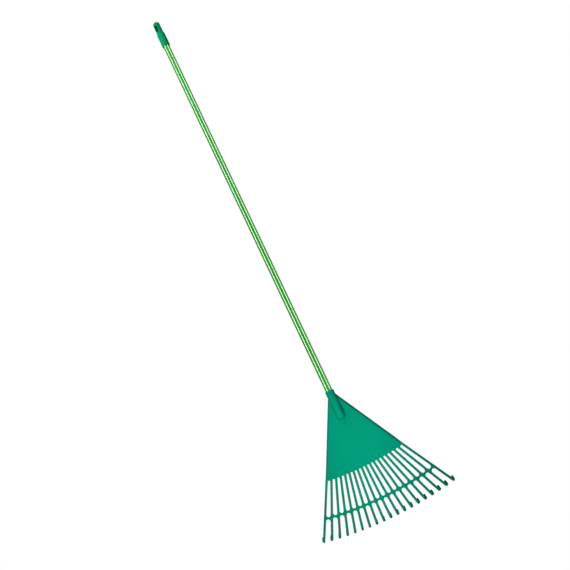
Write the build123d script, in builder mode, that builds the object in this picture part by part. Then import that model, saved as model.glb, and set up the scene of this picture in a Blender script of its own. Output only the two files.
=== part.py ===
"""Leaf rake: a lacquered steel tube with a hanging cap and a fan-shaped, 19-tined plastic head.

Frame: the rake hangs from its cap.  +Z runs up the handle, the head's smooth face looks to -Y and the
tine ends bend back towards +Y.  The origin is the centre of the hanging hole.  Millimetres.
"""
import math
import os

from build123d import *

# Handle tube
TUBE_R = 11.0
TUBE_WALL = 0.6
TUBE_TOP = -21.0

# Hanging cap, pushed over the top of the tube
CAP_TOP = 27.0
CAP_LOW = -72.0
CAP_EYE_R = 11.4
CAP_DOME_R = 8.0
CAP_EYE_LOW = -10.0
CAP_SLEEVE_R = 13.6
CAP_SLEEVE_TOP = -27.0
CAP_SHOULDER_R = 20.0
CAP_LIP_R = 0.8
HANG_HOLE_WIDTH = 11.0
HANG_HOLE_HEIGHT = 26.0
HANG_HOLE_TURN = 25.0

# Socket of the head, in line with the handle
RIM_Z = -1360.0
SOCKET_RIM_R = 13.6
SOCKET_END_R = 12.2
SOCKET_LENGTH = 91.0
TUBE_IN_SOCKET = 45.0
SOCKET_CLEARANCE = 0.1
FLOOR_GAP = 1.0

# Tapered nose plug in the lower end of the tube
NOSE_LENGTH = 30.0
NOSE_TOP_R = 9.4
NOSE_END_R = 8.4
NOSE_EASE_R = 2.0
PLUG_INSIDE = 28.0

# Fan: a flat plate that leans back from the handle's axis
LEAN = 6.0
PLATE_Y = -1.0
PLATE_THICK = 3.0
PLATE_TOP_S = 10.0
EDGE_MEETS_SOCKET_S = 16.0
SKIRT_WIDTH = 5.8
SKIRT_FALL = 8.2
SKIRT_THICK = 2.6

# Tines: equally spaced rays from one apex.  Depths are measured down the plate from the rim.
TINES = 19
TINE_STEP = 3.22
APEX_S = 6.5
TINE_WIDTH = 7.2
TINE_DEPTH = 4.6
SLOT_TOP_S = 240.0
SLOT_TOP_BOW = 950.0
WEB_S = 341.0
WEB_BOW = 1065.0
WEB_WAIST = 6.4
WEB_TRIM = 2.5
TIP_S = 405.0
TIP_BOW = 1235.0

# Hooked free ends, each on a sprung root just below the web.  A hook turns back and up, and leans
# half as far from upright as its tine does.
ROOT_BELOW_WEB = 14.5
ROOT_GAP = 0.3
HOOK_BEND_R = 6.0
HOOK_STRAIGHT = 12.0
HOOK_RISE = 60.0
HOOK_FAN = 0.5

# Blanks run this far past the line that trims them
OVERRUN = 20.0


def angle_of(tine):
    """Angle of tine 1..19 from the centre line; halves give the gaps between tines."""
    return math.radians((tine - (TINES + 1) / 2) * TINE_STEP)


def reach(angle, depth, bow):
    """Distance from the apex, along a ray, to the arc of radius bow that crosses the centre at depth."""
    offset = APEX_S - depth + bow
    return math.sqrt(bow**2 - (offset * math.sin(angle)) ** 2) - offset * math.cos(angle)


def on_ray(angle, distance, across=0.0):
    """Plate-plane point at a distance down a ray and a distance to the right of it."""
    x = distance * math.sin(angle) + across * math.cos(angle)
    s = APEX_S + distance * math.cos(angle) - across * math.sin(angle)
    return (x, -s)


lean = math.radians(LEAN)
DOWN_PLATE = Vector(0, math.sin(lean), -math.cos(lean))
PLATE = Plane(
    origin=(0, PLATE_Y, RIM_Z),
    x_dir=(1, 0, 0),
    z_dir=(0, -math.cos(lean), -math.sin(lean)),
)
PLATE_BACK = -PLATE.z_dir
SOCKET_BORE_R = TUBE_R + SOCKET_CLEARANCE


def root_distance(tine):
    """Distance from the apex to the root pivot of a tine."""
    return reach(angle_of(tine), WEB_S, WEB_BOW) + ROOT_BELOW_WEB


def fan_half(s):
    """Half width of the fan at a depth: straight from the socket's rim to the outer tine."""
    angle = angle_of(TINES)
    x, y = on_ray(angle, reach(angle, SLOT_TOP_S, SLOT_TOP_BOW), TINE_WIDTH / 2)
    slope = (x - SOCKET_RIM_R) / (-y - EDGE_MEETS_SOCKET_S)
    return SOCKET_RIM_R + (s - EDGE_MEETS_SOCKET_S) * slope


def hook_direction(tine):
    """Direction of a tine's hook."""
    turn = HOOK_FAN * angle_of(tine)
    rise = math.radians(HOOK_RISE)
    return Vector(-math.sin(turn) * math.sin(rise), math.cos(rise), math.cos(turn) * math.sin(rise))


def link_half(distance):
    """Half width of the gap between two neighbouring tines, at a distance down its middle."""
    half_step = math.radians(TINE_STEP / 2)
    return distance * math.tan(half_step) - TINE_WIDTH / 2 / math.cos(half_step)


def tine_plane(tine, towards):
    """Plane of one tine's side profile: x runs down the tine from its root, y leans to a direction."""
    angle = angle_of(tine)
    along = Vector(1, 0, 0) * math.sin(angle) + DOWN_PLATE * math.cos(angle)
    x, y = on_ray(angle, root_distance(tine))
    root = PLATE.from_local_coords((x, y, -TINE_DEPTH / 2))
    return Plane(origin=root, x_dir=along, z_dir=along.cross(towards))


def finish(piece, label):
    """Name a finished piece and write it out."""
    piece.part.label = label
    export_step(piece.part, f"parts/{label}.step")


os.makedirs("parts", exist_ok=True)

# --- Steel tube, open at both ends ---
tube_end = RIM_Z - TUBE_IN_SOCKET
with BuildPart() as handle_tube:
    with BuildSketch(Plane.XY.offset(tube_end)):
        Circle(TUBE_R)
        Circle(TUBE_R - TUBE_WALL, mode=Mode.SUBTRACT)
    extrude(amount=TUBE_TOP - tube_end)
finish(handle_tube, "handle_tube")

# --- Nose plug: a cylinder inside the tube and a tapered nose below it ---
nose_end = tube_end - NOSE_LENGTH
with BuildPart() as tube_tip:
    with BuildSketch(Plane.XZ) as tip_profile:
        with BuildLine():
            Polyline(
                (0, nose_end),
                (NOSE_END_R, nose_end),
                (NOSE_TOP_R, tube_end),
                (TUBE_R - TUBE_WALL, tube_end),
                (TUBE_R - TUBE_WALL, tube_end + PLUG_INSIDE),
                (0, tube_end + PLUG_INSIDE),
                close=True,
            )
        make_face()
        fillet(tip_profile.vertices().group_by(Axis.Y)[0].sort_by(Axis.X)[-1], NOSE_EASE_R)
    revolve(axis=Axis.Z)
finish(tube_tip, "tube_tip")

# --- Hanging cap: sleeve, shoulder and rounded eye with an oblong hole through it ---
with BuildPart() as hang_cap:
    with BuildSketch(Plane.XZ) as cap_profile:
        with BuildLine():
            Polyline(
                (0, CAP_TOP),
                (CAP_EYE_R, CAP_TOP),
                (CAP_EYE_R, CAP_EYE_LOW),
                (CAP_SLEEVE_R, CAP_SLEEVE_TOP),
                (CAP_SLEEVE_R, CAP_LOW),
                (0, CAP_LOW),
                close=True,
            )
        make_face()
        outer = cap_profile.vertices().filter_by(lambda v: v.X > 1.0).sort_by(Axis.Y)
        fillet(outer[-1], CAP_DOME_R)
        fillet(outer[1:3], CAP_SHOULDER_R)
        fillet(outer[0], CAP_LIP_R)
    revolve(axis=Axis.Z)
    with BuildSketch(Plane.XY.offset(CAP_LOW)):
        Circle(TUBE_R)
    extrude(amount=TUBE_TOP - CAP_LOW, mode=Mode.SUBTRACT)
    turn = math.radians(HANG_HOLE_TURN)
    hole_plane = Plane(
        origin=(0, 0, 0),
        x_dir=(math.cos(turn), -math.sin(turn), 0),
        z_dir=(-math.sin(turn), -math.cos(turn), 0),
    )
    with BuildSketch(hole_plane):
        SlotOverall(HANG_HOLE_HEIGHT, HANG_HOLE_WIDTH, rotation=90)
    extrude(amount=2 * CAP_EYE_R, both=True, mode=Mode.SUBTRACT)
finish(hang_cap, "hang_cap")

# --- Socket: a tapered boss with a domed end, bored for the tube and for its nose ---
socket_end = RIM_Z - SOCKET_LENGTH
dome_top = socket_end + SOCKET_END_R
with BuildPart() as socket_outside:
    with BuildSketch(Plane.XZ):
        with BuildLine():
            Line((0, RIM_Z), (SOCKET_RIM_R, RIM_Z))
            Line((SOCKET_RIM_R, RIM_Z), (SOCKET_END_R, dome_top))
            CenterArc((0, dome_top), SOCKET_END_R, 270, 90)
            Line((0, socket_end), (0, RIM_Z))
        make_face()
    revolve(axis=Axis.Z)

with BuildPart() as handle_socket:
    add(socket_outside.part)
    with BuildSketch(Plane.XZ):
        with BuildLine():
            Polyline(
                (0, RIM_Z),
                (SOCKET_BORE_R, RIM_Z),
                (SOCKET_BORE_R, tube_end),
                (NOSE_TOP_R + SOCKET_CLEARANCE, tube_end),
                (NOSE_END_R + SOCKET_CLEARANCE, nose_end),
                (NOSE_END_R + SOCKET_CLEARANCE, nose_end - FLOOR_GAP),
                (0, nose_end - FLOOR_GAP),
                close=True,
            )
        make_face()
    revolve(axis=Axis.Z, mode=Mode.SUBTRACT)
finish(handle_socket, "handle_socket")

# --- Fan plate with edges that slope back; its lower edge is the line of the slot tops ---
plate_low = SLOT_TOP_S + OVERRUN
slope_length = math.hypot(SKIRT_WIDTH, SKIRT_FALL)
thick_across = SKIRT_THICK * SKIRT_FALL / slope_length
thick_back = SKIRT_THICK * SKIRT_WIDTH / slope_length
with BuildPart() as head_plate:
    flat_top = fan_half(PLATE_TOP_S) - SKIRT_WIDTH
    flat_low = fan_half(plate_low) - SKIRT_WIDTH
    with BuildSketch(PLATE):
        with BuildLine():
            Polyline(
                (-flat_top, -PLATE_TOP_S),
                (flat_top, -PLATE_TOP_S),
                (flat_low, -plate_low),
                (-flat_low, -plate_low),
                close=True,
            )
        make_face()
    extrude(amount=-PLATE_THICK)
    for side in (-1, 1):
        top_corner = PLATE.from_local_coords((side * fan_half(PLATE_TOP_S), -PLATE_TOP_S, 0))
        low_corner = PLATE.from_local_coords((side * fan_half(plate_low), -plate_low, 0))
        with BuildSketch(Plane(origin=top_corner, x_dir=(1, 0, 0), z_dir=DOWN_PLATE)):
            with BuildLine():
                Polyline(
                    (-side * SKIRT_WIDTH, 0),
                    (0, -SKIRT_FALL),
                    (-side * thick_across, -SKIRT_FALL - thick_back),
                    (-side * (SKIRT_WIDTH + thick_across), -thick_back),
                    close=True,
                )
            make_face()
        edge_run = low_corner - top_corner
        extrude(amount=edge_run.length, dir=edge_run.normalized())
    with BuildSketch(PLATE):
        with Locations((0, SLOT_TOP_BOW - SLOT_TOP_S)):
            Circle(SLOT_TOP_BOW)
    extrude(amount=-OVERRUN, mode=Mode.INTERSECT)
    add(socket_outside.part, mode=Mode.SUBTRACT)
finish(head_plate, "head_plate")

# --- Shanks: the 19 straight runs between the slot tops and the sprung roots ---
with BuildPart() as tine_shanks:
    with BuildSketch(PLATE):
        for tine in range(1, TINES + 1):
            angle = angle_of(tine)
            top = reach(angle, SLOT_TOP_S, SLOT_TOP_BOW) - OVERRUN
            with BuildLine():
                Polyline(
                    on_ray(angle, top, -TINE_WIDTH / 2),
                    on_ray(angle, top, TINE_WIDTH / 2),
                    on_ray(angle, root_distance(tine), TINE_WIDTH / 2),
                    on_ray(angle, root_distance(tine), -TINE_WIDTH / 2),
                    close=True,
                )
            make_face()
        with Locations((0, SLOT_TOP_BOW - SLOT_TOP_S)):
            Circle(SLOT_TOP_BOW, mode=Mode.SUBTRACT)
    extrude(amount=-TINE_DEPTH)
    for tine in range(1, TINES + 1):
        with BuildSketch(tine_plane(tine, PLATE_BACK)):
            Circle(TINE_DEPTH / 2 + ROOT_GAP)
        extrude(amount=TINE_WIDTH, both=True, mode=Mode.SUBTRACT)
finish(tine_shanks, "tine_shanks")

# --- Cross web: one waisted link in each gap, with the slots' round ends above and below ---
spread = math.sin(math.radians(TINE_STEP / 2))
with BuildPart() as cross_web:
    for gap in range(1, TINES):
        angle = angle_of(gap + 0.5)
        middle = reach(angle, WEB_S, WEB_BOW)
        upper = (middle - WEB_WAIST / 2 + TINE_WIDTH / 2) / (1 + spread)
        lower = (middle + WEB_WAIST / 2 - TINE_WIDTH / 2) / (1 - spread)
        top = upper + WEB_TRIM
        bottom = lower - WEB_TRIM
        with BuildSketch(PLATE):
            with BuildLine():
                Polyline(
                    on_ray(angle, top, -link_half(top)),
                    on_ray(angle, top, link_half(top)),
                    on_ray(angle, bottom, link_half(bottom)),
                    on_ray(angle, bottom, -link_half(bottom)),
                    close=True,
                )
            make_face()
            with Locations(on_ray(angle, upper)):
                Circle(upper * spread - TINE_WIDTH / 2, mode=Mode.SUBTRACT)
            with Locations(on_ray(angle, lower)):
                Circle(lower * spread - TINE_WIDTH / 2, mode=Mode.SUBTRACT)
        extrude(amount=-TINE_DEPTH)
finish(cross_web, "cross_web")

# --- Free tine ends: round root and straight run in line with the shank, then the bend and hook ---
half_depth = TINE_DEPTH / 2
for tine in range(1, TINES + 1):
    run = reach(angle_of(tine), TIP_S, TIP_BOW) - root_distance(tine) - HOOK_BEND_R - half_depth
    hook_view = tine_plane(tine, hook_direction(tine))
    bend = hook_view.x_dir.get_angle(hook_direction(tine))
    bend_centre = Vector(run, HOOK_BEND_R)
    outward = Vector(math.sin(math.radians(bend)), -math.cos(math.radians(bend)))
    back = Vector(math.cos(math.radians(bend)), math.sin(math.radians(bend)))
    outer_end = bend_centre + outward * (HOOK_BEND_R + half_depth)
    inner_end = bend_centre + outward * (HOOK_BEND_R - half_depth)
    with BuildPart() as tine_end:
        with BuildSketch(tine_plane(tine, PLATE_BACK)):
            with BuildLine():
                Line((0, -half_depth), (run, -half_depth))
                Line((run, -half_depth), (run, half_depth))
                Line((run, half_depth), (0, half_depth))
                CenterArc((0, 0), half_depth, 90, 180)
            make_face()
        extrude(amount=TINE_WIDTH / 2, both=True)
        with BuildSketch(hook_view) as hook:
            with BuildLine():
                Line((run, half_depth), (run, -half_depth))
                CenterArc(bend_centre, HOOK_BEND_R + half_depth, -90, bend)
                Line(outer_end, outer_end + back * HOOK_STRAIGHT)
                Line(outer_end + back * HOOK_STRAIGHT, inner_end + back * HOOK_STRAIGHT)
                Line(inner_end + back * HOOK_STRAIGHT, inner_end)
                CenterArc(bend_centre, HOOK_BEND_R - half_depth, -90, bend)
            make_face()
        extrude(amount=TINE_WIDTH / 2, both=True)
    finish(tine_end, f"tine_{tine:02d}")
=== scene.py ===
"""Looks of the leaf rake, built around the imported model: moulded head, tine ends, tube, plug and cap.

Metres, in the row frame: +Z up the handle, -Y the head's smooth face, origin in the hanging hole.
"""
import math

import bmesh
import bpy
import numpy as np
from mathutils import Matrix, Vector


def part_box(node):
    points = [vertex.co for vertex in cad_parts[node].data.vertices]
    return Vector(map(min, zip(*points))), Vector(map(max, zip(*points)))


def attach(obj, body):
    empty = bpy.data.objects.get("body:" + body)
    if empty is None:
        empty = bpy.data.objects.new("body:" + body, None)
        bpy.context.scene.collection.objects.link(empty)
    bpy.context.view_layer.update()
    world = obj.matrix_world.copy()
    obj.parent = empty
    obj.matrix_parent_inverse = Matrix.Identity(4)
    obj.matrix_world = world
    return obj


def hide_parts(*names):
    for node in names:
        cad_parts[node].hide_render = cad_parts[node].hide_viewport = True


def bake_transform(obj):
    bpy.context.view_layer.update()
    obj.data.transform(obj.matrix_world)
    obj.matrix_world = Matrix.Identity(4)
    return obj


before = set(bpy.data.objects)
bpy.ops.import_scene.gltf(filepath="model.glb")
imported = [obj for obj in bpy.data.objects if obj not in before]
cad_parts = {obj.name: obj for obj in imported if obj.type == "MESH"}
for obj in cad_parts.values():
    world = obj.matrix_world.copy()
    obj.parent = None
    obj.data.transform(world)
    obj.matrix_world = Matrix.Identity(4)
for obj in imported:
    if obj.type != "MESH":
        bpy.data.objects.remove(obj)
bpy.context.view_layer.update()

MM = 0.001
TAU = 2 * math.pi

# Places read from the frame
socket_low, socket_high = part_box("handle_socket")
tube_low, tube_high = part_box("handle_tube")
tip_low, tip_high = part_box("tube_tip")
cap_low, cap_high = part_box("hang_cap")
RIM_Z = socket_high.z
SOCKET_RIM_R = socket_high.x
TUBE_R = tube_high.x

# Sizes of the head, the same as in the design
LEAN = math.radians(6.0)
PLATE_Y = -1.0 * MM
PLATE_THICK = 3.0 * MM
PLATE_TOP_S = 10.0 * MM
EDGE_MEETS_SOCKET_S = 16.0 * MM
SOCKET_END_R = 12.2 * MM
BORE_R = TUBE_R + 0.15 * MM
FLOOR_GAP = 1.0 * MM
TINES = 19
TINE_STEP = math.radians(3.22)
APEX_S = 6.5 * MM
TINE_WIDTH = 7.2 * MM
TINE_DEPTH = 4.6 * MM
SLOT_TOP_S, SLOT_TOP_BOW = 240.0 * MM, 950.0 * MM
WEB_S, WEB_BOW = 341.0 * MM, 1065.0 * MM
WEB_WAIST = 6.4 * MM
TIP_S, TIP_BOW = 405.0 * MM, 1235.0 * MM
HOOK_BEND_R = 6.0 * MM
HOOK_STRAIGHT = 12.0 * MM
HOOK_RISE = math.radians(60.0)
HOOK_FAN = 0.5
SPREAD = math.sin(TINE_STEP / 2)

# Finer shape of the moulding
SKIRT_WIDTH, SKIRT_SOFT, SKIRT_DEPTH = 5.8 * MM, 0.5 * MM, 8.2 * MM
OUTER_SLOPE_DEPTH = 3.2 * MM
EDGE_EASE = 0.5 * MM
TINE_CROWN = 1.1 * MM
HUB_CROWN = 0.15
LINK_SINK = 0.7 * MM
SLOT_CORNER_R = 1.4 * MM
STUB_SINK = 0.12 * MM
NOTCH_R = BORE_R + 0.6 * MM
BOSS_FROM = 34.0 * MM
BOSS_FILLET, BOSS_FILLET_BACK = 5.0 * MM, 4.0 * MM
BOSS_PROUD = 0.1 * MM
COLLAR_EASE = 0.9 * MM
TUBE_WALL = 0.6 * MM
CAP_EYE_R, CAP_DOME_R = 11.4 * MM, 8.0 * MM
CAP_EYE_LOW, CAP_SLEEVE_TOP = -10.0 * MM, -27.0 * MM
HOLE_HALF_WIDTH, HOLE_HALF_HEIGHT = 5.5 * MM, 13.0 * MM
HOLE_TURN = math.radians(25)
HOLE_ROUND_STEPS = 16

# Rows and columns of the head's mesh; the places across a tine run from -1 to 1
PLATE_ROWS, PLATE_COLUMNS = 34, 40
BAND = 30.0 * MM
BAND_ROWS = (25.0 * MM, 18.0 * MM, 12.0 * MM, 7.0 * MM, 3.0 * MM, 0.6 * MM)
SLOT_ROWS, WEB_ROWS, LINK_COLUMNS = 24, 8, 10
TINE_LINES = (-1.0, -0.86, -0.5, 0.0, 0.5, 0.86, 1.0)
CORNER_TURNS = tuple(math.radians(turn) for turn in (90.0, 65.0, 35.0))

ACROSS = Vector((1, 0, 0))
DOWN = Vector((0, math.sin(LEAN), -math.cos(LEAN)))
FRONT = Vector((0, -math.cos(LEAN), -math.sin(LEAN)))
PLATE_ORIGIN = Vector((0, PLATE_Y, RIM_Z))


# ---------------------------------------------------------------- geometry helpers
def angle_of(tine):
    """Angle of tine 1..19 from the centre line; halves give the gaps."""
    return (tine - (TINES + 1) / 2) * TINE_STEP


def reach(angle, depth, bow):
    """Distance from the apex, along a ray, to the arc of radius bow that crosses the centre at depth."""
    offset = APEX_S - depth + bow
    return math.sqrt(bow**2 - (offset * math.sin(angle)) ** 2) - offset * math.cos(angle)


def outer_corner():
    """Half width and depth of the outermost tine's outer side at the line of the slot tops."""
    angle = angle_of(TINES)
    distance = reach(angle, SLOT_TOP_S, SLOT_TOP_BOW)
    x = distance * math.sin(angle) + TINE_WIDTH / 2 * math.cos(angle)
    return x, APEX_S + distance * math.cos(angle) - TINE_WIDTH / 2 * math.sin(angle)


OUTER_X, OUTER_S = outer_corner()
SKIRT_INSETS = [(1 - u) * TINE_WIDTH / 2 for u in reversed(TINE_LINES)]


def on_plate(x, s, out=0.0):
    """Row-frame point at x across, s down the plate and out in front of its face."""
    return PLATE_ORIGIN + ACROSS * x + DOWN * s + FRONT * out


def on_ray(angle, distance, across=0.0, out=0.0):
    """Row-frame point at a distance down a ray from the apex, and a distance to the right of it."""
    x = distance * math.sin(angle) + across * math.cos(angle)
    s = APEX_S + distance * math.cos(angle) - across * math.sin(angle)
    return on_plate(x, s, out)


def make_object(name, verts, faces):
    """A mesh object with its normals turned outwards."""
    mesh = bpy.data.meshes.new(name)
    mesh.from_pydata([tuple(v) for v in verts], [], faces)
    bm = bmesh.new()
    bm.from_mesh(mesh)
    bmesh.ops.remove_doubles(bm, verts=bm.verts, dist=1e-7)
    bmesh.ops.recalc_face_normals(bm, faces=bm.faces)
    bm.to_mesh(mesh)
    bm.free()
    mesh.shade_smooth()
    piece = bpy.data.objects.new(name, mesh)
    bpy.context.scene.collection.objects.link(piece)
    return piece


def loft(name, rings):
    """A closed solid through rings of equally many points, with flat ends."""
    count = len(rings[0])
    verts = [p for ring in rings for p in ring]
    faces = [tuple(range(count)), tuple(range(len(verts) - count, len(verts)))]
    for row in range(len(rings) - 1):
        for i in range(count):
            j = (i + 1) % count
            faces.append((row * count + i, row * count + j, (row + 1) * count + j, (row + 1) * count + i))
    return make_object(name, verts, faces)


def lathe(name, profile, segments=96):
    """A closed solid of revolution about Z from (radius, z) points; a radius of 0 closes on the axis."""
    verts, rings, faces = [], [], []
    for radius, z in profile:
        if radius < 1e-9:
            rings.append([len(verts)] * segments)
            verts.append((0, 0, z))
            continue
        rings.append(list(range(len(verts), len(verts) + segments)))
        for i in range(segments):
            turn = TAU * i / segments
            verts.append((radius * math.cos(turn), radius * math.sin(turn), z))
    closed = profile[0][0] > 1e-9
    for row in range(len(rings) - (0 if closed else 1)):
        near, far = rings[row], rings[(row + 1) % len(rings)]
        for i in range(segments):
            j = (i + 1) % segments
            corners = [near[i], near[j], far[j], far[i]]
            face = [c for n, c in enumerate(corners) if c not in corners[:n]]
            if len(face) > 2:
                faces.append(tuple(face))
    return make_object(name, verts, faces)


def arc(centre, radius, start, end, steps):
    """(radius, z) or (x, y) points of an arc, in degrees, both ends included."""
    turns = [math.radians(start + (end - start) * i / steps) for i in range(steps + 1)]
    return [(centre[0] + radius * math.cos(t), centre[1] + radius * math.sin(t)) for t in turns]


def join(name, pieces):
    """One object with all the pieces' meshes."""
    bm = bmesh.new()
    for piece in pieces:
        bm.from_mesh(piece.data)
    mesh = bpy.data.meshes.new(name)
    bm.to_mesh(mesh)
    bm.free()
    for piece in pieces:
        bpy.data.objects.remove(piece)
    whole = bpy.data.objects.new(name, mesh)
    bpy.context.scene.collection.objects.link(whole)
    return whole


def apply_modifiers(piece):
    """Replace the mesh with its evaluated one and drop the modifiers."""
    graph = bpy.context.evaluated_depsgraph_get()
    mesh = bpy.data.meshes.new_from_object(piece.evaluated_get(graph))
    piece.modifiers.clear()
    piece.data = mesh
    mesh.shade_smooth()


def fuse(piece, voxel, rounds, keep):
    """Melt overlapping solids into one skin, with every corner softened as in a mould."""
    melt = piece.modifiers.new("melt", "REMESH")
    melt.mode = "VOXEL"
    melt.voxel_size = voxel
    soften = piece.modifiers.new("soften", "SMOOTH")
    soften.factor = 0.5
    soften.iterations = rounds
    thin = piece.modifiers.new("thin", "DECIMATE")
    thin.ratio = keep
    apply_modifiers(piece)


def cut(piece, cutter):
    """Take the cutter's volume out of the piece, and stop if nothing is left of it."""
    difference = piece.modifiers.new("cut", "BOOLEAN")
    difference.operation = "DIFFERENCE"
    difference.solver = "MANIFOLD"
    difference.object = cutter
    apply_modifiers(piece)
    if not piece.data.polygons:
        raise RuntimeError(f"cutting {piece.name} left nothing")
    bpy.data.objects.remove(cutter)


# ---------------------------------------------------------------- head
class Sheet:
    """A moulded sheet: each corner has a front and a back point, and its free edges get walls."""

    def __init__(self):
        self.front, self.back, self.cells, self.index = [], [], [], {}

    def corner(self, key, front, back):
        """Remember a corner's two points under a key."""
        self.index[key] = len(self.front)
        self.front.append(front)
        self.back.append(back)

    def cell(self, *keys):
        """A cell between corners, named by their keys."""
        self.cells.append([self.index[key] for key in keys])

    def build(self, name):
        """The closed solid."""
        count = len(self.front)
        uses = {}
        for cell in self.cells:
            for a, b in zip(cell, cell[1:] + cell[:1]):
                edge = (min(a, b), max(a, b))
                uses[edge] = uses.get(edge, 0) + 1
        faces = [tuple(cell) for cell in self.cells]
        faces += [tuple(corner + count for corner in reversed(cell)) for cell in self.cells]
        faces += [(a, b, b + count, a + count) for (a, b), times in uses.items() if times == 1]
        return make_object(name, self.front + self.back, faces)


def plate_half(s):
    """Half width of the plate at a depth: straight from the socket's rim radius to the outer tine."""
    slope = (OUTER_X - SOCKET_RIM_R) / (OUTER_S - EDGE_MEETS_SOCKET_S)
    return SOCKET_RIM_R + (s - EDGE_MEETS_SOCKET_S) * slope


def skirt(inset, depth):
    """Front height and slope of the turned-back edge at a distance in from the outline."""
    bend = math.exp((SKIRT_WIDTH - inset) / SKIRT_SOFT)
    height = -depth / SKIRT_WIDTH * SKIRT_SOFT * math.log(1 + bend)
    slope = depth / SKIRT_WIDTH * bend / (1 + bend)
    return height, slope


def skirt_points(side, half, inset, s, depth, thick):
    """Front and back points of the turned-back edge."""
    height, slope = skirt(inset, depth)
    steep = math.sqrt(1 + slope * slope)
    front = on_plate(side * (half - inset), s, height)
    back = on_plate(side * (half - inset - thick * slope / steep), s, height - thick / steep)
    return front, back


def top_row(row):
    """Depth at x of a row of the upper plate, from a straight top to an arc above the slots."""
    share = row / PLATE_ROWS

    def depth(x):
        low = SLOT_TOP_S - BAND - SLOT_TOP_BOW + math.sqrt(SLOT_TOP_BOW**2 - x**2)
        return PLATE_TOP_S + (low - PLATE_TOP_S) * share

    return depth


def half_on(depth):
    """Half width of the plate where a row meets its outline."""
    half = 0.0
    for _ in range(12):
        half = plate_half(depth(half))
    return half


def add_upper_plate(sheet):
    """Coarse rows of the plate, with the turned-back edges as its outer columns."""
    for row in range(PLATE_ROWS + 1):
        depth = top_row(row)
        half = half_on(depth)
        for side in (-1, 1):
            for column, inset in enumerate(SKIRT_INSETS):
                s = depth(half - inset)
                sheet.corner(("edge", side, column, row),
                             *skirt_points(side, half, inset, s, SKIRT_DEPTH, PLATE_THICK))
        inner = half - SKIRT_INSETS[-1]
        for column in range(1, PLATE_COLUMNS):
            x = inner * (2 * column / PLATE_COLUMNS - 1)
            s = depth(x)
            sheet.corner(("plate", column, row), on_plate(x, s), on_plate(x, s, -PLATE_THICK))
    for row in range(PLATE_ROWS):
        line = plate_line(row)
        below = plate_line(row + 1)
        for a, b, c, d in zip(line, line[1:], below[1:], below):
            sheet.cell(a, b, c, d)


def plate_line(row):
    """Keys across one row of the upper plate, from left to right."""
    last = len(SKIRT_INSETS)
    left = [("edge", -1, column, row) for column in range(last)]
    middle = [("plate", column, row) for column in range(1, PLATE_COLUMNS)]
    right = [("edge", 1, column, row) for column in reversed(range(last))]
    return left + middle + right


def side_angle(tine, side):
    """Angle of the gap on one side of a tine; an outermost tine has the same gap on both sides."""
    neighbour = tine + side if 1 <= tine + side <= TINES else tine - side
    return angle_of((tine + neighbour) / 2)


def side_distances(tine, side):
    """Distances down a tine, on one side, of its slot's top corner and of the web's two edges."""
    angle = side_angle(tine, side)
    middle = reach(angle, WEB_S, WEB_BOW)
    upper = (middle - WEB_WAIST / 2 + TINE_WIDTH / 2) / (1 + SPREAD)
    lower = (middle + WEB_WAIST / 2 - TINE_WIDTH / 2) / (1 - SPREAD)
    top = reach(angle, SLOT_TOP_S, SLOT_TOP_BOW) + SLOT_CORNER_R
    return top, upper * math.cos(TINE_STEP / 2), lower * math.cos(TINE_STEP / 2)


def tine_rows(tine, side):
    """Distances of every row of a tine's side: band, slot, web and the stub below it."""
    top, web_top, web_low = side_distances(tine, side)
    band = [reach(side_angle(tine, side), SLOT_TOP_S - above, SLOT_TOP_BOW) for above in BAND_ROWS]
    slot = list(np.linspace(top, web_top, SLOT_ROWS + 1))
    web = list(np.linspace(web_top, web_low, WEB_ROWS + 1))[1:]
    stub = [web_low + 2 * MM, web_low + 4 * MM, web_low + 6 * MM]
    return band + slot + web + stub


def zone_shares(row):
    """How far a row is into being a free tine, and how far it is sunk at the stub's end."""
    first_slot = len(BAND_ROWS)
    first_web = first_slot + SLOT_ROWS
    last_web = first_web + WEB_ROWS
    if row < first_slot:
        return 0.0, 0.0
    if row <= first_web:
        free = min((row - first_slot) / 3, (first_web - row) / 2 + HUB_CROWN, 1.0)
        return free, 0.0
    if row < last_web:
        return HUB_CROWN, 0.0
    return min(HUB_CROWN + (row - last_web) / 2, 1.0), max(0, row - last_web - 1) * STUB_SINK


def outer_side(tine):
    """-1 or 1 for the tines at the head's left and right edge, and 0 for the rest."""
    return {1: -1, TINES: 1}.get(tine, 0)


def section_heights(u, free, outer):
    """Front and back heights of a tine's section at a place across it, from -1 to 1."""
    ease = EDGE_EASE * free if abs(u) > 0.99 else 0.0
    front = -TINE_CROWN * free * u * u - ease
    back = ease - TINE_DEPTH
    if outer:
        front += skirt((1 - u * outer) * TINE_WIDTH / 2, OUTER_SLOPE_DEPTH)[0]
    return max(front, back + EDGE_EASE), back


def add_tines(sheet):
    """Fine columns of all the tines, from the band above the slots to the stubs below the web."""
    for tine in range(1, TINES + 1):
        angle, outer = angle_of(tine), outer_side(tine)
        left, right = tine_rows(tine, -1), tine_rows(tine, 1)
        for row, (d_left, d_right) in enumerate(zip(left, right)):
            free, sink = zone_shares(row)
            plate = max(0.0, 1 - row / (len(BAND_ROWS) - 1))
            for column, u in enumerate(TINE_LINES):
                distance = d_left + (d_right - d_left) * (u + 1) / 2
                across = u * (TINE_WIDTH / 2 - sink)
                front, back = section_heights(u, free, outer)
                back += (TINE_DEPTH - PLATE_THICK) * plate
                points = [on_ray(angle, distance, across, front - sink),
                          on_ray(angle, distance, across, back + sink)]
                if outer and plate:
                    s = APEX_S + distance * math.cos(angle) - across * math.sin(angle)
                    inset = (1 - u * outer) * TINE_WIDTH / 2
                    edge = skirt_points(outer, plate_half(s), inset, s, SKIRT_DEPTH, PLATE_THICK)
                    points = [point.lerp(other, plate) for point, other in zip(points, edge)]
                sheet.corner(("tine", tine, column, row), *points)
        add_grid(sheet, [[("tine", tine, column, row) for column in range(len(TINE_LINES))]
                         for row in range(len(left))])


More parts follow.
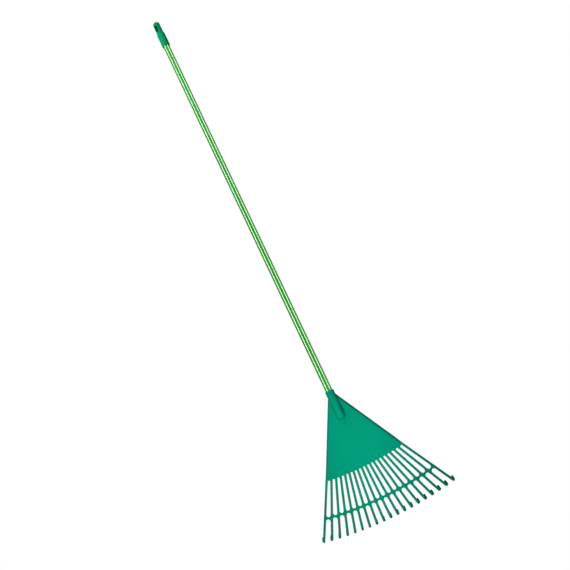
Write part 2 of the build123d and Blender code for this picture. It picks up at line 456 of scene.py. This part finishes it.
def gap_keys(gap, kind, rows, columns):
    """Grid of keys of a gap's cells, whose outer columns belong to the tines beside it."""
    first = 0 if kind == "band" else len(BAND_ROWS) + SLOT_ROWS
    grid = []
    for row in range(rows):
        inner = [(kind, gap, column, row) for column in range(1, columns)]
        left = ("tine", gap, len(TINE_LINES) - 1, first + row)
        right = ("tine", gap + 1, 0, first + row)
        grid.append([left] + inner + [right])
    return grid


def add_band(sheet, gap):
    """The plate between two tines, down to the top of their slot with its rounded corners."""
    angle = angle_of(gap + 0.5)
    columns = 2 * len(CORNER_TURNS) + 2
    grid = gap_keys(gap, "band", len(BAND_ROWS) + 1, columns)
    for row, above in enumerate(BAND_ROWS + (0.0,)):
        distance = reach(angle, SLOT_TOP_S - above, SLOT_TOP_BOW)
        half = distance * SPREAD - TINE_WIDTH / 2
        ease = 0.0 if above else EDGE_EASE
        places = [(0.0, 0.0)]
        for turn in CORNER_TURNS:
            across = half - SLOT_CORNER_R * (1 - math.cos(turn))
            drop = SLOT_CORNER_R * (1 - math.sin(turn)) * (row / len(BAND_ROWS)) ** 4
            places = [(-across, drop)] + places + [(across, drop)]
        places.sort()
        for column, (across, drop) in enumerate(places, 1):
            sheet.corner(grid[row][column], on_ray(angle, distance + drop, across, -ease),
                         on_ray(angle, distance + drop, across, ease - PLATE_THICK))
    add_grid(sheet, grid)


def add_grid(sheet, grid):
    """Cells between the rows of a grid of keys."""
    for line, below in zip(grid, grid[1:]):
        for a, b, c, d in zip(line, line[1:], below[1:], below):
            sheet.cell(a, b, c, d)


def add_link(sheet, gap):
    """The waisted link of the web between two tines, with the slots' round ends as its edges."""
    angle = angle_of(gap + 0.5)
    middle = reach(angle, WEB_S, WEB_BOW)
    upper = (middle - WEB_WAIST / 2 + TINE_WIDTH / 2) / (1 + SPREAD)
    lower = (middle + WEB_WAIST / 2 - TINE_WIDTH / 2) / (1 - SPREAD)
    upper_r, lower_r = upper * SPREAD - TINE_WIDTH / 2, lower * SPREAD - TINE_WIDTH / 2
    grid = gap_keys(gap, "link", WEB_ROWS + 1, LINK_COLUMNS)
    for column in range(1, LINK_COLUMNS):
        share = 2 * column / LINK_COLUMNS - 1
        top_turn = share * (math.pi / 2 + TINE_STEP / 2)
        low_turn = share * (math.pi / 2 - TINE_STEP / 2)
        top = (upper_r * math.sin(top_turn), upper + upper_r * math.cos(top_turn))
        low = (lower_r * math.sin(low_turn), lower - lower_r * math.cos(low_turn))
        sunk = LINK_SINK * (1 - share * share)
        for row in range(WEB_ROWS + 1):
            across, distance = (a + (b - a) * row / WEB_ROWS for a, b in zip(top, low))
            ease = EDGE_EASE if row in (0, WEB_ROWS) else 0.0
            sheet.corner(grid[row][column], on_ray(angle, distance, across, -sunk - ease),
                         on_ray(angle, distance, across, ease - TINE_DEPTH + sunk / 2))
    add_grid(sheet, grid)


def zip_rows(sheet, upper, lower):
    """Triangles between two rows with different columns, from left to right."""
    i = j = 0
    upper_x = [sheet.front[sheet.index[key]].x for key in upper] + [math.inf]
    lower_x = [sheet.front[sheet.index[key]].x for key in lower] + [math.inf]
    while i < len(upper) - 1 or j < len(lower) - 1:
        if upper_x[i + 1] < lower_x[j + 1]:
            sheet.cell(upper[i], upper[i + 1], lower[j])
            i += 1
        else:
            sheet.cell(upper[i], lower[j + 1], lower[j])
            j += 1


def build_head():
    """The rigid part of the moulding: plate, turned-back edges, shanks and cross web."""
    sheet = Sheet()
    add_upper_plate(sheet)
    add_tines(sheet)
    fine = [("tine", 1, column, 0) for column in range(len(TINE_LINES))]
    for gap in range(1, TINES):
        add_band(sheet, gap)
        add_link(sheet, gap)
        fine += [("band", gap, column, 0) for column in range(1, 2 * len(CORNER_TURNS) + 2)]
        fine += [("tine", gap + 1, column, 0) for column in range(len(TINE_LINES))]
    zip_rows(sheet, plate_line(PLATE_ROWS), fine)
    head = sheet.build("rake_head")
    floor = nose_floor()
    cut(head, lathe("plate_notch", [(0.0, RIM_Z), (NOTCH_R, RIM_Z), (NOTCH_R, floor), (0.0, floor)]))
    return head


# ---------------------------------------------------------------- socket
def nose_floor():
    """Height of the floor of the socket's bore."""
    return tip_low.z - FLOOR_GAP


def socket_radius(down):
    """Outside radius of the socket at a distance below the rim, above its dome."""
    share = down / (RIM_Z - socket_low.z - SOCKET_END_R)
    return SOCKET_RIM_R + (SOCKET_END_R - SOCKET_RIM_R) * min(max(share, 0.0), 1.0)


def boss_profile(height, radius, ease):
    """(distance, height) points from a face, over a fillet and up a round boss to its crest.

    height is how far the boss's axis stands in front of the face; it may be behind it.
    """
    if height > ease:
        fillet = arc((radius + ease, ease), ease, 270, 180, 7)
        wall = [(radius, (ease + height) / 2)]
        return fillet + wall + arc((0, height), radius, 0, 90, 10)
    out = math.sqrt((radius + ease) ** 2 - (ease - height) ** 2)
    turn = math.degrees(math.atan2(ease - height, out))
    return arc((out, ease), ease, 270, 180 + turn, 7) + arc((0, height), radius, turn, 90, 12)[1:]


def boss_stations():
    """(depth, height, radius, share, direction) along one side of the boss, round its dome and back."""
    straight = []
    dome_down = RIM_Z - socket_low.z - SOCKET_END_R
    for share in np.linspace(0, 1, 15):
        down = BOSS_FROM + (dome_down - BOSS_FROM) * share
        s = -PLATE_Y * math.sin(LEAN) + down * math.cos(LEAN)
        height = PLATE_Y * math.cos(LEAN) + down * math.sin(LEAN)
        straight.append((s, height, socket_radius(down), share))
    stations = [place + ((-1.0, 0.0),) for place in straight]
    for i in range(1, 20):
        turn = math.pi * i / 20
        stations.append(straight[-1] + ((-math.cos(turn), math.sin(turn)),))
    return stations + [place + ((1.0, 0.0),) for place in reversed(straight)]


def boss(name, behind):
    """The boss where it stands out of the plate's front or back, with a soft fillet round its foot."""
    loops = []
    for s, height, radius, share, (across, down) in boss_stations():
        ease = (BOSS_FILLET_BACK if behind else BOSS_FILLET) * min(1.0, 0.1 + share * 2.2)
        radius += BOSS_PROUD * (min(share * 8, 2) - 1)
        profile = boss_profile(-height - PLATE_THICK if behind else height, radius, ease)
        foot = profile[0][0]
        profile = [(0.0, -1.2 * MM), (foot + 0.6 * MM, -1.2 * MM), (foot + 1.0 * MM, -0.12 * MM)] + profile
        points = []
        for distance, rise in profile:
            out = -PLATE_THICK - rise if behind else rise
            points.append(on_plate(across * distance, s + down * distance, out))
        loops.append(points)
    count = len(loops[0])
    verts = [point for loop in loops for point in loop]
    faces = [(i * count + j, i * count + j + 1, (i + 1) * count + j + 1, (i + 1) * count + j)
             for i in range(len(loops) - 1) for j in range(count - 1)]
    last = (len(loops) - 1) * count
    faces.append(tuple(range(count)) + tuple(last + j for j in reversed(range(1, count - 1))))
    return make_object(name, verts, faces)


def socket_body():
    """The tapered body with its collar and domed end."""
    dome = (0.0, socket_low.z + SOCKET_END_R)
    rim = arc((SOCKET_RIM_R - COLLAR_EASE, RIM_Z - COLLAR_EASE), COLLAR_EASE, 90, 0, 5)
    collar = [(SOCKET_RIM_R, RIM_Z - down * MM) for down in (2, 14, 15)]
    for down, sunk in ((16, 0.15), (17, 0.35), (18, 0.4)):
        collar.append((socket_radius(down * MM) - sunk * MM, RIM_Z - down * MM))
    for down in (20, 40, 60, 76):
        collar.append((socket_radius(down * MM), RIM_Z - down * MM))
    profile = [(0.0, RIM_Z)] + rim + collar + arc(dome, SOCKET_END_R, 0, -90, 14)[:-1] + [(0.0, socket_low.z)]
    return lathe("socket_body", profile)


def socket_bore():
    """What is taken out of the socket: the tube's bore and a tapered one for its nose."""
    profile = [
        (0.0, RIM_Z + 5 * MM),
        (BORE_R + 1.2 * MM, RIM_Z + 5 * MM),
        (BORE_R + 0.8 * MM, RIM_Z),
        (BORE_R, RIM_Z - 1.2 * MM),
        (BORE_R, tube_low.z),
        (9.55 * MM, tube_low.z),
        (8.55 * MM, nose_floor()),
        (0.0, nose_floor()),
    ]
    return lathe("socket_bore", profile)


def build_socket():
    """The socket that the handle is pushed into."""
    shells = [socket_body(), boss("boss_front", False), boss("boss_back", True)]
    for shell in shells:
        cut(shell, socket_bore())
    return join("socket", shells)


# ---------------------------------------------------------------- tine ends
def tine_section(outer):
    """Closed (across, out) outline of a free tine, about the middle of its depth."""
    heights = [section_heights(u, 1.0, outer) for u in TINE_LINES]
    half, middle = TINE_WIDTH / 2, TINE_DEPTH / 2
    front = [(u * half, front + middle) for u, (front, back) in zip(TINE_LINES, heights)]
    back = [(u * half, back + middle) for u, (front, back) in zip(TINE_LINES, heights)]
    return front + back[::-1]


def tine_path(tine):
    """Stations (centre, across, out, sink, scale) of a tine end, from inside the web to its free end."""
    angle = angle_of(tine)
    along = ACROSS * math.sin(angle) + DOWN * math.cos(angle)
    lateral = (ACROSS * math.cos(angle) - DOWN * math.sin(angle)).normalized()
    web_low = (side_distances(tine, -1)[2] + side_distances(tine, 1)[2]) / 2
    bend_at = reach(angle, TIP_S, TIP_BOW) - HOOK_BEND_R - TINE_DEPTH / 2
    middle = -TINE_DEPTH / 2
    stations = []
    for below, sink in ((-1, 0.3), (1, 0.15), (3, 0.05), (5, 0.0)):
        stations.append((on_ray(angle, web_low + below * MM, 0, middle), lateral, FRONT, sink * MM, 1.0))
    for distance in np.linspace(web_low + 8 * MM, bend_at, 14):
        stations.append((on_ray(angle, distance, 0, middle), lateral, FRONT, 0.0, 1.0))
    fan = HOOK_FAN * angle
    rise = Vector((-math.sin(fan), 0, math.cos(fan)))
    hook = Vector((0, 1, 0)) * math.cos(HOOK_RISE) + rise * math.sin(HOOK_RISE)
    side = along.cross(hook).normalized()
    inward = side.cross(along).normalized()
    centre = on_ray(angle, bend_at, 0, middle) + inward * HOOK_BEND_R
    full = along.angle(hook)
    for i in range(1, 15):
        turn = full * i / 14
        outward = along * math.sin(turn) - inward * math.cos(turn)
        tangent = along * math.cos(turn) + inward * math.sin(turn)
        across = lateral.lerp(side, i / 14)
        across = (across - tangent * across.dot(tangent)).normalized()
        stations.append((centre + outward * HOOK_BEND_R, across, tangent.cross(across), 0.0, 1.0))
    last, across, out = stations[-1][:3]
    for share, scale in ((0.3, 0.98), (0.6, 0.95), (0.9, 0.92), (0.96, 0.88), (1.0, 0.78)):
        stations.append((last + hook * HOOK_STRAIGHT * share, across, out, 0.0, scale))
    return stations


def build_tine(tine):
    """One flexing tine end with its back-bent hook."""
    section = tine_section(outer_side(tine))
    rings = []
    for centre, across, out, sink, scale in tine_path(tine):
        ring = []
        for x, z in section:
            x, z = x * scale, z * scale
            ring.append(centre + across * (x - math.copysign(sink, x)) + out * (z - math.copysign(sink, z)))
        rings.append(ring)
    return loft(f"tine_end_{tine:02d}", rings)


# ---------------------------------------------------------------- handle
def build_tube():
    """The steel tube, open at both ends; rings just inside each end keep its long sides straight."""
    ease, ring = 0.2 * MM, 0.6 * MM
    inner = TUBE_R - TUBE_WALL
    low, high = tube_low.z, tube_high.z
    heights = (low + ease, low + ring, high - ring, high - ease)
    profile = [(TUBE_R - ease, low)] + [(TUBE_R, z) for z in heights] + [(TUBE_R - ease, high)]
    profile += [(inner + ease, high)] + [(inner, z) for z in reversed(heights)] + [(inner + ease, low)]
    return lathe("tube", profile, 128)


def build_tip():
    """The tapered nose plug, with shallow grip rings on its nose."""
    low, high, step = tip_low.z, tip_high.z, tube_low.z
    inside = tip_high.x
    profile = [(0.0, low), (5.0 * MM, low)] + arc((6.4 * MM, low + 2 * MM), 2 * MM, -90, -20, 5)
    rings = 5
    for i in range(rings * 6 + 1):
        z = low + 4 * MM + (step - low - 5 * MM) * i / (rings * 6)
        taper = 8.3 * MM + 1.0 * MM * (z - low) / (step - low)
        profile.append((taper - 0.22 * MM * (1 + math.cos(TAU * i / 6)), z))
    profile += [(inside, step), (inside, high - 1 * MM), (inside - 1 * MM, high), (0.0, high)]
    return lathe("nose_plug", profile)


def build_cap():
    """The hanging cap: sleeve, shoulder and domed eye with an oblong hole."""
    sleeve_r, top, low = cap_high.x, cap_high.z, cap_low.z
    profile = [(0.0, top)] + arc((CAP_EYE_R - CAP_DOME_R, top - CAP_DOME_R), CAP_DOME_R, 90, 0, 10)
    for i in range(17):
        share = i / 16
        ease = share * share * (3 - 2 * share)
        z = CAP_EYE_LOW + (CAP_SLEEVE_TOP - CAP_EYE_LOW) * share
        profile.append((CAP_EYE_R + (sleeve_r - CAP_EYE_R) * ease, z))
    profile += [(sleeve_r, low + 1 * MM), (sleeve_r - 0.3 * MM, low + 0.3 * MM), (sleeve_r - 1 * MM, low)]
    profile += [(0.0, low)]
    body = lathe("cap_body", profile)
    outward = Vector((-math.sin(HOLE_TURN), -math.cos(HOLE_TURN), 0))
    sideways = Vector((math.cos(HOLE_TURN), -math.sin(HOLE_TURN), 0))
    middle = HOLE_HALF_HEIGHT - HOLE_HALF_WIDTH
    ends = arc((0, middle), HOLE_HALF_WIDTH, 0, 180, HOLE_ROUND_STEPS)
    ends += arc((0, -middle), HOLE_HALF_WIDTH, 180, 360, HOLE_ROUND_STEPS)
    rings = []
    for depth in (-20 * MM, 20 * MM):
        rings.append([outward * depth + sideways * x + Vector((0, 0, z)) for x, z in ends])
    cut(body, loft("hole_cutter", rings))
    fuse(body, voxel=0.4 * MM, rounds=3, keep=0.5)
    bore_top = tube_high.z
    bore = [(0.0, low - 5 * MM), (TUBE_R + 0.9 * MM, low - 5 * MM), (TUBE_R + 0.6 * MM, low),
            (TUBE_R + 0.05 * MM, low + 0.8 * MM), (TUBE_R + 0.05 * MM, bore_top), (0.0, bore_top)]
    cut(body, lathe("cap_bore", bore))
    body.name = "cap"
    return body


# ---------------------------------------------------------------- materials
def new_material(name, color, roughness, metallic=0.0, specular=0.5):
    """A material with one shader; returns it with its tree and shader."""
    material = bpy.data.materials.new(name)
    material.use_nodes = True
    tree = material.node_tree
    shader = tree.nodes["Principled BSDF"]
    shader.inputs["Base Color"].default_value = (*color, 1.0)
    shader.inputs["Roughness"].default_value = roughness
    shader.inputs["Metallic"].default_value = metallic
    shader.inputs["Specular IOR Level"].default_value = specular
    return material, tree, shader


def noise(tree, scale, stretch=(1, 1, 1), detail=3.0):
    """Noise in the object's own space, stretched by a factor per axis."""
    place = tree.nodes.new("ShaderNodeTexCoord")
    mapping = tree.nodes.new("ShaderNodeMapping")
    mapping.inputs["Scale"].default_value = stretch
    texture = tree.nodes.new("ShaderNodeTexNoise")
    texture.inputs["Scale"].default_value = scale
    texture.inputs["Detail"].default_value = detail
    tree.links.new(place.outputs["Object"], mapping.inputs["Vector"])
    tree.links.new(mapping.outputs["Vector"], texture.inputs["Vector"])
    return texture.outputs["Fac"]


def ramp(tree, fac, low, high, dark, light):
    """Colours that go from dark to light as fac goes from low to high."""
    node = tree.nodes.new("ShaderNodeValToRGB")
    node.color_ramp.elements[0].position = low
    node.color_ramp.elements[0].color = (*dark, 1.0)
    node.color_ramp.elements[1].position = high
    node.color_ramp.elements[1].color = (*light, 1.0)
    tree.links.new(fac, node.inputs["Fac"])
    return node.outputs["Color"]


def spread_value(tree, fac, low, high):
    """Maps fac, mostly 0.3 to 0.7, to low..high."""
    node = tree.nodes.new("ShaderNodeMapRange")
    node.inputs["From Min"].default_value = 0.3
    node.inputs["From Max"].default_value = 0.7
    node.inputs["To Min"].default_value = low
    node.inputs["To Max"].default_value = high
    tree.links.new(fac, node.inputs["Value"])
    return node.outputs["Result"]


def bump(tree, shader, heights):
    """Chains bumps, each a (fac, strength, distance), into the shader's normal."""
    normal = None
    for fac, strength, distance in heights:
        node = tree.nodes.new("ShaderNodeBump")
        node.inputs["Strength"].default_value = strength
        node.inputs["Distance"].default_value = distance
        tree.links.new(fac, node.inputs["Height"])
        if normal:
            tree.links.new(normal, node.inputs["Normal"])
        normal = node.outputs["Normal"]
    tree.links.new(normal, shader.inputs["Normal"])


def moulded_plastic(name, dark, light, roughness):
    """Satin polypropylene: faint clouding in colour and gloss, flow marks and a fine mould grain."""
    material, tree, shader = new_material(name, light, roughness, specular=0.04)
    clouds = noise(tree, 9, (1, 1, 0.35))
    tree.links.new(ramp(tree, clouds, 0.35, 0.65, dark, light), shader.inputs["Base Color"])
    tree.links.new(spread_value(tree, noise(tree, 40), roughness - 0.04, roughness + 0.06),
                   shader.inputs["Roughness"])
    flow = noise(tree, 22, (1, 1, 0.15))
    grain = noise(tree, 1600, detail=2.0)
    bump(tree, shader, [(flow, 0.12, 0.4 * MM), (grain, 0.10, 0.05 * MM)])
    return material


def lacquered_steel():
    """Clear metallic green lacquer on a drawn steel tube."""
    material, tree, shader = new_material("lacquered_steel", (0.26, 0.76, 0.25), 0.2, 0.9)
    shader.inputs["Coat Weight"].default_value = 0.35
    shader.inputs["Coat Roughness"].default_value = 0.06
    streaks = noise(tree, 60, (1, 1, 0.01))
    tree.links.new(ramp(tree, streaks, 0.3, 0.7, (0.24, 0.74, 0.23), (0.28, 0.79, 0.27)),
                   shader.inputs["Base Color"])
    tree.links.new(spread_value(tree, noise(tree, 120, (1, 1, 0.02)), 0.17, 0.22),
                   shader.inputs["Roughness"])
    bump(tree, shader, [(streaks, 0.03, 0.03 * MM)])
    return material


# ---------------------------------------------------------------- assembly
def give(piece, material, slot, *nodes):
    """Material and the CAD nodes that a piece stands for; slot is not used."""
    piece.data.materials.clear()
    piece.data.materials.append(material)
    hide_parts(*nodes)


head_plastic = moulded_plastic("head_plastic", (0.0, 0.26, 0.15), (0.0, 0.285, 0.17), 0.42)
cap_plastic = moulded_plastic("cap_plastic", (0.0, 0.20, 0.075), (0.0, 0.235, 0.09), 0.38)
plug_plastic = moulded_plastic("plug_plastic", (0.012, 0.012, 0.012), (0.02, 0.02, 0.02), 0.5)
tube_lacquer = lacquered_steel()

head = build_head()
give(head, head_plastic, "head_plastic", "head_plate", "tine_shanks", "cross_web")
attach(head, "head")
socket = build_socket()
give(socket, head_plastic, "head_plastic", "handle_socket")
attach(socket, "head")

for tine in range(1, TINES + 1):
    piece = build_tine(tine)
    give(piece, head_plastic, "head_plastic", f"tine_{tine:02d}")
    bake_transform(piece)

tube = build_tube()
give(tube, tube_lacquer, "tube_lacquer", "handle_tube")
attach(tube, "handle")
plug = build_tip()
give(plug, plug_plastic, "plug_plastic", "tube_tip")
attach(plug, "handle")
cap = build_cap()
give(cap, cap_plastic, "cap_plastic", "hang_cap")
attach(cap, "handle")


# ---------------------------------------------------------------- camera, light and floor
def aim(yaw, pitch, roll):
    """Camera rotation: yaw from +Y towards +X, pitch up, then roll, in degrees."""
    yaw, pitch, roll = (math.radians(v) for v in (yaw, pitch, roll))
    forward = Vector((math.sin(yaw) * math.cos(pitch), math.cos(yaw) * math.cos(pitch), math.sin(pitch)))
    level = Vector((math.cos(yaw), -math.sin(yaw), 0))
    upright = level.cross(forward)
    right = level * math.cos(roll) + upright * math.sin(roll)
    up = upright * math.cos(roll) - level * math.sin(roll)
    return Matrix((right, up, -forward)).transposed()


def add_camera():
    """The camera: low in front of the head, looking up the handle, rolled to one side."""
    data = bpy.data.cameras.new("camera")
    data.lens = 60.0
    camera = bpy.data.objects.new("camera", data)
    camera.matrix_world = aim(-7.556, 17.047, -25.37).to_4x4()
    camera.location = (0.3818, -2.7544, -1.8579)
    bpy.context.scene.collection.objects.link(camera)
    bpy.context.scene.camera = camera


def add_light(name, place, target, width, height, power, shows_in="both"):
    """A soft rectangular light at a place, facing a target, for matt surfaces, gloss or both."""
    data = bpy.data.lights.new(name, "AREA")
    data.shape = "RECTANGLE"
    data.size = width
    data.size_y = height
    data.energy = power
    light = bpy.data.objects.new(name, data)
    light.location = place
    light.rotation_euler = (Vector(target) - Vector(place)).to_track_quat("-Z", "Y").to_euler()
    light.visible_camera = False
    light.visible_glossy = shows_in != "matt"
    light.visible_diffuse = shows_in != "gloss"
    bpy.context.scene.collection.objects.link(light)


def add_world():
    """White behind the object for the camera, and a dimmer studio for its light."""
    world = bpy.data.worlds.new("studio")
    bpy.context.scene.world = world
    world.use_nodes = True
    nodes, links = world.node_tree.nodes, world.node_tree.links
    nodes.clear()
    seen = nodes.new("ShaderNodeBackground")
    seen.inputs["Color"].default_value = (1, 1, 1, 1)
    studio = nodes.new("ShaderNodeBackground")
    place = nodes.new("ShaderNodeTexCoord")
    split = nodes.new("ShaderNodeSeparateXYZ")
    glow = nodes.new("ShaderNodeMapRange")
    glow.interpolation_type = "SMOOTHSTEP"
    for key, value in (("From Min", 0.1), ("From Max", 0.8), ("To Min", 0.3), ("To Max", 0.6)):
        glow.inputs[key].default_value = value
    matt = nodes.new("ShaderNodeMapRange")
    matt.inputs["To Min"].default_value = 1.0
    matt.inputs["To Max"].default_value = 0.3
    strength = nodes.new("ShaderNodeMath")
    strength.operation = "MULTIPLY"
    path = nodes.new("ShaderNodeLightPath")
    mix = nodes.new("ShaderNodeMixShader")
    out = nodes.new("ShaderNodeOutputWorld")
    links.new(place.outputs["Generated"], split.inputs["Vector"])
    links.new(split.outputs["Y"], glow.inputs["Value"])
    links.new(path.outputs["Is Diffuse Ray"], matt.inputs["Value"])
    links.new(glow.outputs["Result"], strength.inputs[0])
    links.new(matt.outputs["Result"], strength.inputs[1])
    links.new(strength.outputs["Value"], studio.inputs["Strength"])
    links.new(path.outputs["Is Camera Ray"], mix.inputs["Fac"])
    links.new(studio.outputs["Background"], mix.inputs[1])
    links.new(seen.outputs["Background"], mix.inputs[2])
    links.new(mix.outputs["Shader"], out.inputs["Surface"])


def add_floor():
    """A plain pale floor under the hanging rake."""
    half, z = 1.25, -2.26
    corners = [(-half, -half, z), (half, -half, z), (half, half, z), (-half, half, z)]
    floor = make_object("floor", corners, [(0, 1, 2, 3)])
    material, _, _ = new_material("floor", (0.86, 0.86, 0.85), 0.7)
    floor.data.materials.append(material)


add_camera()
add_world()
add_floor()
STRIP_Z, STRIP_WIDTH, STRIP_HEIGHT = 0.2, 0.34, 3.2
add_light("left_strip", (-1.37, -1.53, STRIP_Z), (0, 0, STRIP_Z), STRIP_WIDTH, STRIP_HEIGHT, 20, "gloss")
add_light("right_strip", (1.73, -1.10, STRIP_Z), (0, 0, STRIP_Z), STRIP_WIDTH, STRIP_HEIGHT, 18, "gloss")
add_light("head_key", (-0.02, -0.30, -1.57), (-0.01, 0, -1.51), 0.05, 0.30, 1.1, "matt")
add_light("cap_key", (-0.30, -0.74, 0.0), (0, 0, -0.05), 0.3, 0.3, 10.0, "matt")
add_light("fill", (-0.5, -2.35, -1.5), (0, 0, -1.3), 0.8, 0.8, 8.5, "matt")
add_light("back_fill", (-0.7, 1.9, -0.7), (0, 0, -0.9), 0.8, 0.8, 20, "matt")
bpy.context.scene.view_settings.view_transform = "Standard"
